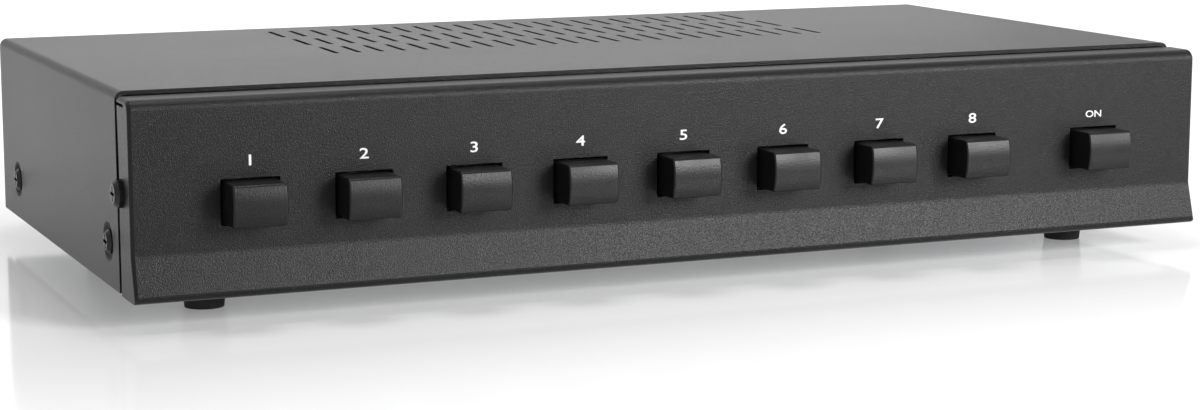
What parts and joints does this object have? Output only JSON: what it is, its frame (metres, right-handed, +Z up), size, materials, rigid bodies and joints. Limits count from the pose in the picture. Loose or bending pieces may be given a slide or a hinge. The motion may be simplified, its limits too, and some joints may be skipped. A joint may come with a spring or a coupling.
{
  "type": "speaker selector switch",
  "caption": "Low black steel case with a row of push buttons on a folded front panel, slotted vents on top, rubber feet and push lever speaker terminals across the back.",
  "frame": {"origin": "under the middle of the whole part's box, on the plane that the feet stand on", "axes": "+X to the right along the front panel, +Y from the buttons to the back, +Z up"},
  "size_m": [0.3446, 0.1972, 0.0638],
  "materials": {
    "black_coat": "fine textured black powder coat",
    "zinc": "zinc plated sheet steel",
    "switch_plastic": "matte",
    "block_plastic": "matte",
    "contact_metal": "tinned brass",
    "board": "brown laminate",
    "ceramic": "matte ceramic",
    "foot_rubber": "matte",
    "screw_black": "black oxide",
    "button_plastic": "matte",
    "lever_red": "satin",
    "lever_black": "satin"
  },
  "bodies": {
    "case": {"top_cover": "black_coat", "bottom_chassis": "zinc", "front_panel": "black_coat", "switch_wall": "zinc", "switch_bodies": "switch_plastic", "rear_panel": "black_coat", "terminal_blocks": "block_plastic", "terminal_contacts": "contact_metal", "main_board": "board", "terminal_board": "board", "board_standoffs": "contact_metal", "protection_resistors": "ceramic", "rubber_feet": "foot_rubber", "case_screws": "screw_black", "chassis_screws": "screw_black"},
    "button_1_body": {"button_1": "button_plastic"},
    "button_2_body": {"button_2": "button_plastic"},
    "button_3_body": {"button_3": "button_plastic"},
    "button_4_body": {"button_4": "button_plastic"},
    "button_5_body": {"button_5": "button_plastic"},
    "button_6_body": {"button_6": "button_plastic"},
    "button_7_body": {"button_7": "button_plastic"},
    "button_8_body": {"button_8": "button_plastic"},
    "button_protection_body": {"button_protection": "button_plastic"},
    "lever_input_left_minus_body": {"lever_input_left_minus": "lever_black"},
    "lever_input_left_plus_body": {"lever_input_left_plus": "lever_red"},
    "lever_input_right_minus_body": {"lever_input_right_minus": "lever_black"},
    "lever_input_right_plus_body": {"lever_input_right_plus": "lever_red"},
    "lever_1_left_minus_body": {"lever_1_left_minus": "lever_black"},
    "lever_1_left_plus_body": {"lever_1_left_plus": "lever_red"},
    "lever_1_right_minus_body": {"lever_1_right_minus": "lever_black"},
    "lever_1_right_plus_body": {"lever_1_right_plus": "lever_red"},
    "lever_2_left_minus_body": {"lever_2_left_minus": "lever_black"},
    "lever_2_left_plus_body": {"lever_2_left_plus": "lever_red"},
    "lever_2_right_minus_body": {"lever_2_right_minus": "lever_black"},
    "lever_2_right_plus_body": {"lever_2_right_plus": "lever_red"},
    "lever_3_left_minus_body": {"lever_3_left_minus": "lever_black"},
    "lever_3_left_plus_body": {"lever_3_left_plus": "lever_red"},
    "lever_3_right_minus_body": {"lever_3_right_minus": "lever_black"},
    "lever_3_right_plus_body": {"lever_3_right_plus": "lever_red"},
    "lever_4_left_minus_body": {"lever_4_left_minus": "lever_black"},
    "lever_4_left_plus_body": {"lever_4_left_plus": "lever_red"},
    "lever_4_right_minus_body": {"lever_4_right_minus": "lever_black"},
    "lever_4_right_plus_body": {"lever_4_right_plus": "lever_red"},
    "lever_5_left_minus_body": {"lever_5_left_minus": "lever_black"},
    "lever_5_left_plus_body": {"lever_5_left_plus": "lever_red"},
    "lever_5_right_minus_body": {"lever_5_right_minus": "lever_black"},
    "lever_5_right_plus_body": {"lever_5_right_plus": "lever_red"},
    "lever_6_left_minus_body": {"lever_6_left_minus": "lever_black"},
    "lever_6_left_plus_body": {"lever_6_left_plus": "lever_red"},
    "lever_6_right_minus_body": {"lever_6_right_minus": "lever_black"},
    "lever_6_right_plus_body": {"lever_6_right_plus": "lever_red"},
    "lever_7_left_minus_body": {"lever_7_left_minus": "lever_black"},
    "lever_7_left_plus_body": {"lever_7_left_plus": "lever_red"},
    "lever_7_right_minus_body": {"lever_7_right_minus": "lever_black"},
    "lever_7_right_plus_body": {"lever_7_right_plus": "lever_red"},
    "lever_8_left_minus_body": {"lever_8_left_minus": "lever_black"},
    "lever_8_left_plus_body": {"lever_8_left_plus": "lever_red"},
    "lever_8_right_minus_body": {"lever_8_right_minus": "lever_black"},
    "lever_8_right_plus_body": {"lever_8_right_plus": "lever_red"}
  },
  "joints": [
    {"name": "button_1_press", "type": "slide", "parent": "case", "child": "button_1_body", "axis": [0, 1, 0], "range_m": [0, 0.004], "stiffness_N_per_m": 500},
    {"name": "button_2_press", "type": "slide", "parent": "case", "child": "button_2_body", "axis": [0, 1, 0], "range_m": [0, 0.004], "stiffness_N_per_m": 500},
    {"name": "button_3_press", "type": "slide", "parent": "case", "child": "button_3_body", "axis": [0, 1, 0], "range_m": [0, 0.004], "stiffness_N_per_m": 500},
    {"name": "button_4_press", "type": "slide", "parent": "case", "child": "button_4_body", "axis": [0, 1, 0], "range_m": [0, 0.004], "stiffness_N_per_m": 500},
    {"name": "button_5_press", "type": "slide", "parent": "case", "child": "button_5_body", "axis": [0, 1, 0], "range_m": [0, 0.004], "stiffness_N_per_m": 500},
    {"name": "button_6_press", "type": "slide", "parent": "case", "child": "button_6_body", "axis": [0, 1, 0], "range_m": [0, 0.004], "stiffness_N_per_m": 500},
    {"name": "button_7_press", "type": "slide", "parent": "case", "child": "button_7_body", "axis": [0, 1, 0], "range_m": [0, 0.004], "stiffness_N_per_m": 500},
    {"name": "button_8_press", "type": "slide", "parent": "case", "child": "button_8_body", "axis": [0, 1, 0], "range_m": [0, 0.004], "stiffness_N_per_m": 500},
    {"name": "button_protection_press", "type": "slide", "parent": "case", "child": "button_protection_body", "axis": [0, 1, 0], "range_m": [0, 0.004], "stiffness_N_per_m": 500},
    {"name": "lever_input_left_minus_push", "type": "hinge", "parent": "case", "child": "lever_input_left_minus_body", "pos_m": [-0.153, 0.09187, 0.0327], "axis": [-1, 0, 0], "range_deg": [0, 15], "stiffness_Nm_per_rad": 0.05},
    {"name": "lever_input_left_plus_push", "type": "hinge", "parent": "case", "child": "lever_input_left_plus_body", "pos_m": [-0.153, 0.09187, 0.0487], "axis": [-1, 0, 0], "range_deg": [0, 15], "stiffness_Nm_per_rad": 0.05},
    {"name": "lever_input_right_minus_push", "type": "hinge", "parent": "case", "child": "lever_input_right_minus_body", "pos_m": [-0.135, 0.09187, 0.0327], "axis": [-1, 0, 0], "range_deg": [0, 15], "stiffness_Nm_per_rad": 0.05},
    {"name": "lever_input_right_plus_push", "type": "hinge", "parent": "case", "child": "lever_input_right_plus_body", "pos_m": [-0.135, 0.09187, 0.0487], "axis": [-1, 0, 0], "range_deg": [0, 15], "stiffness_Nm_per_rad": 0.05},
    {"name": "lever_1_left_minus_push", "type": "hinge", "parent": "case", "child": "lever_1_left_minus_body", "pos_m": [-0.117, 0.09187, 0.0327], "axis": [-1, 0, 0], "range_deg": [0, 15], "stiffness_Nm_per_rad": 0.05},
    {"name": "lever_1_left_plus_push", "type": "hinge", "parent": "case", "child": "lever_1_left_plus_body", "pos_m": [-0.117, 0.09187, 0.0487], "axis": [-1, 0, 0], "range_deg": [0, 15], "stiffness_Nm_per_rad": 0.05},
    {"name": "lever_1_right_minus_push", "type": "hinge", "parent": "case", "child": "lever_1_right_minus_body", "pos_m": [-0.099, 0.09187, 0.0327], "axis": [-1, 0, 0], "range_deg": [0, 15], "stiffness_Nm_per_rad": 0.05},
    {"name": "lever_1_right_plus_push", "type": "hinge", "parent": "case", "child": "lever_1_right_plus_body", "pos_m": [-0.099, 0.09187, 0.0487], "axis": [-1, 0, 0], "range_deg": [0, 15], "stiffness_Nm_per_rad": 0.05},
    {"name": "lever_2_left_minus_push", "type": "hinge", "parent": "case", "child": "lever_2_left_minus_body", "pos_m": [-0.081, 0.09187, 0.0327], "axis": [-1, 0, 0], "range_deg": [0, 15], "stiffness_Nm_per_rad": 0.05},
    {"name": "lever_2_left_plus_push", "type": "hinge", "parent": "case", "child": "lever_2_left_plus_body", "pos_m": [-0.081, 0.09187, 0.0487], "axis": [-1, 0, 0], "range_deg": [0, 15], "stiffness_Nm_per_rad": 0.05},
    {"name": "lever_2_right_minus_push", "type": "hinge", "parent": "case", "child": "lever_2_right_minus_body", "pos_m": [-0.063, 0.09187, 0.0327], "axis": [-1, 0, 0], "range_deg": [0, 15], "stiffness_Nm_per_rad": 0.05},
    {"name": "lever_2_right_plus_push", "type": "hinge", "parent": "case", "child": "lever_2_right_plus_body", "pos_m": [-0.063, 0.09187, 0.0487], "axis": [-1, 0, 0], "range_deg": [0, 15], "stiffness_Nm_per_rad": 0.05},
    {"name": "lever_3_left_minus_push", "type": "hinge", "parent": "case", "child": "lever_3_left_minus_body", "pos_m": [-0.045, 0.09187, 0.0327], "axis": [-1, 0, 0], "range_deg": [0, 15], "stiffness_Nm_per_rad": 0.05},
    {"name": "lever_3_left_plus_push", "type": "hinge", "parent": "case", "child": "lever_3_left_plus_body", "pos_m": [-0.045, 0.09187, 0.0487], "axis": [-1, 0, 0], "range_deg": [0, 15], "stiffness_Nm_per_rad": 0.05},
    {"name": "lever_3_right_minus_push", "type": "hinge", "parent": "case", "child": "lever_3_right_minus_body", "pos_m": [-0.027, 0.09187, 0.0327], "axis": [-1, 0, 0], "range_deg": [0, 15], "stiffness_Nm_per_rad": 0.05},
    {"name": "lever_3_right_plus_push", "type": "hinge", "parent": "case", "child": "lever_3_right_plus_body", "pos_m": [-0.027, 0.09187, 0.0487], "axis": [-1, 0, 0], "range_deg": [0, 15], "stiffness_Nm_per_rad": 0.05},
    {"name": "lever_4_left_minus_push", "type": "hinge", "parent": "case", "child": "lever_4_left_minus_body", "pos_m": [-0.009, 0.09187, 0.0327], "axis": [-1, 0, 0], "range_deg": [0, 15], "stiffness_Nm_per_rad": 0.05},
    {"name": "lever_4_left_plus_push", "type": "hinge", "parent": "case", "child": "lever_4_left_plus_body", "pos_m": [-0.009, 0.09187, 0.0487], "axis": [-1, 0, 0], "range_deg": [0, 15], "stiffness_Nm_per_rad": 0.05},
    {"name": "lever_4_right_minus_push", "type": "hinge", "parent": "case", "child": "lever_4_right_minus_body", "pos_m": [0.009, 0.09187, 0.0327], "axis": [-1, 0, 0], "range_deg": [0, 15], "stiffness_Nm_per_rad": 0.05},
    {"name": "lever_4_right_plus_push", "type": "hinge", "parent": "case", "child": "lever_4_right_plus_body", "pos_m": [0.009, 0.09187, 0.0487], "axis": [-1, 0, 0], "range_deg": [0, 15], "stiffness_Nm_per_rad": 0.05},
    {"name": "lever_5_left_minus_push", "type": "hinge", "parent": "case", "child": "lever_5_left_minus_body", "pos_m": [0.027, 0.09187, 0.0327], "axis": [-1, 0, 0], "range_deg": [0, 15], "stiffness_Nm_per_rad": 0.05},
    {"name": "lever_5_left_plus_push", "type": "hinge", "parent": "case", "child": "lever_5_left_plus_body", "pos_m": [0.027, 0.09187, 0.0487], "axis": [-1, 0, 0], "range_deg": [0, 15], "stiffness_Nm_per_rad": 0.05},
    {"name": "lever_5_right_minus_push", "type": "hinge", "parent": "case", "child": "lever_5_right_minus_body", "pos_m": [0.045, 0.09187, 0.0327], "axis": [-1, 0, 0], "range_deg": [0, 15], "stiffness_Nm_per_rad": 0.05},
    {"name": "lever_5_right_plus_push", "type": "hinge", "parent": "case", "child": "lever_5_right_plus_body", "pos_m": [0.045, 0.09187, 0.0487], "axis": [-1, 0, 0], "range_deg": [0, 15], "stiffness_Nm_per_rad": 0.05},
    {"name": "lever_6_left_minus_push", "type": "hinge", "parent": "case", "child": "lever_6_left_minus_body", "pos_m": [0.063, 0.09187, 0.0327], "axis": [-1, 0, 0], "range_deg": [0, 15], "stiffness_Nm_per_rad": 0.05},
    {"name": "lever_6_left_plus_push", "type": "hinge", "parent": "case", "child": "lever_6_left_plus_body", "pos_m": [0.063, 0.09187, 0.0487], "axis": [-1, 0, 0], "range_deg": [0, 15], "stiffness_Nm_per_rad": 0.05},
    {"name": "lever_6_right_minus_push", "type": "hinge", "parent": "case", "child": "lever_6_right_minus_body", "pos_m": [0.081, 0.09187, 0.0327], "axis": [-1, 0, 0], "range_deg": [0, 15], "stiffness_Nm_per_rad": 0.05},
    {"name": "lever_6_right_plus_push", "type": "hinge", "parent": "case", "child": "lever_6_right_plus_body", "pos_m": [0.081, 0.09187, 0.0487], "axis": [-1, 0, 0], "range_deg": [0, 15], "stiffness_Nm_per_rad": 0.05},
    {"name": "lever_7_left_minus_push", "type": "hinge", "parent": "case", "child": "lever_7_left_minus_body", "pos_m": [0.099, 0.09187, 0.0327], "axis": [-1, 0, 0], "range_deg": [0, 15], "stiffness_Nm_per_rad": 0.05},
    {"name": "lever_7_left_plus_push", "type": "hinge", "parent": "case", "child": "lever_7_left_plus_body", "pos_m": [0.099, 0.09187, 0.0487], "axis": [-1, 0, 0], "range_deg": [0, 15], "stiffness_Nm_per_rad": 0.05},
    {"name": "lever_7_right_minus_push", "type": "hinge", "parent": "case", "child": "lever_7_right_minus_body", "pos_m": [0.117, 0.09187, 0.0327], "axis": [-1, 0, 0], "range_deg": [0, 15], "stiffness_Nm_per_rad": 0.05},
    {"name": "lever_7_right_plus_push", "type": "hinge", "parent": "case", "child": "lever_7_right_plus_body", "pos_m": [0.117, 0.09187, 0.0487], "axis": [-1, 0, 0], "range_deg": [0, 15], "stiffness_Nm_per_rad": 0.05},
    {"name": "lever_8_left_minus_push", "type": "hinge", "parent": "case", "child": "lever_8_left_minus_body", "pos_m": [0.135, 0.09187, 0.0327], "axis": [-1, 0, 0], "range_deg": [0, 15], "stiffness_Nm_per_rad": 0.05},
    {"name": "lever_8_left_plus_push", "type": "hinge", "parent": "case", "child": "lever_8_left_plus_body", "pos_m": [0.135, 0.09187, 0.0487], "axis": [-1, 0, 0], "range_deg": [0, 15], "stiffness_Nm_per_rad": 0.05},
    {"name": "lever_8_right_minus_push", "type": "hinge", "parent": "case", "child": "lever_8_right_minus_body", "pos_m": [0.153, 0.09187, 0.0327], "axis": [-1, 0, 0], "range_deg": [0, 15], "stiffness_Nm_per_rad": 0.05},
    {"name": "lever_8_right_plus_push", "type": "hinge", "parent": "case", "child": "lever_8_right_plus_body", "pos_m": [0.153, 0.09187, 0.0487], "axis": [-1, 0, 0], "range_deg": [0, 15], "stiffness_Nm_per_rad": 0.05}
  ]
}
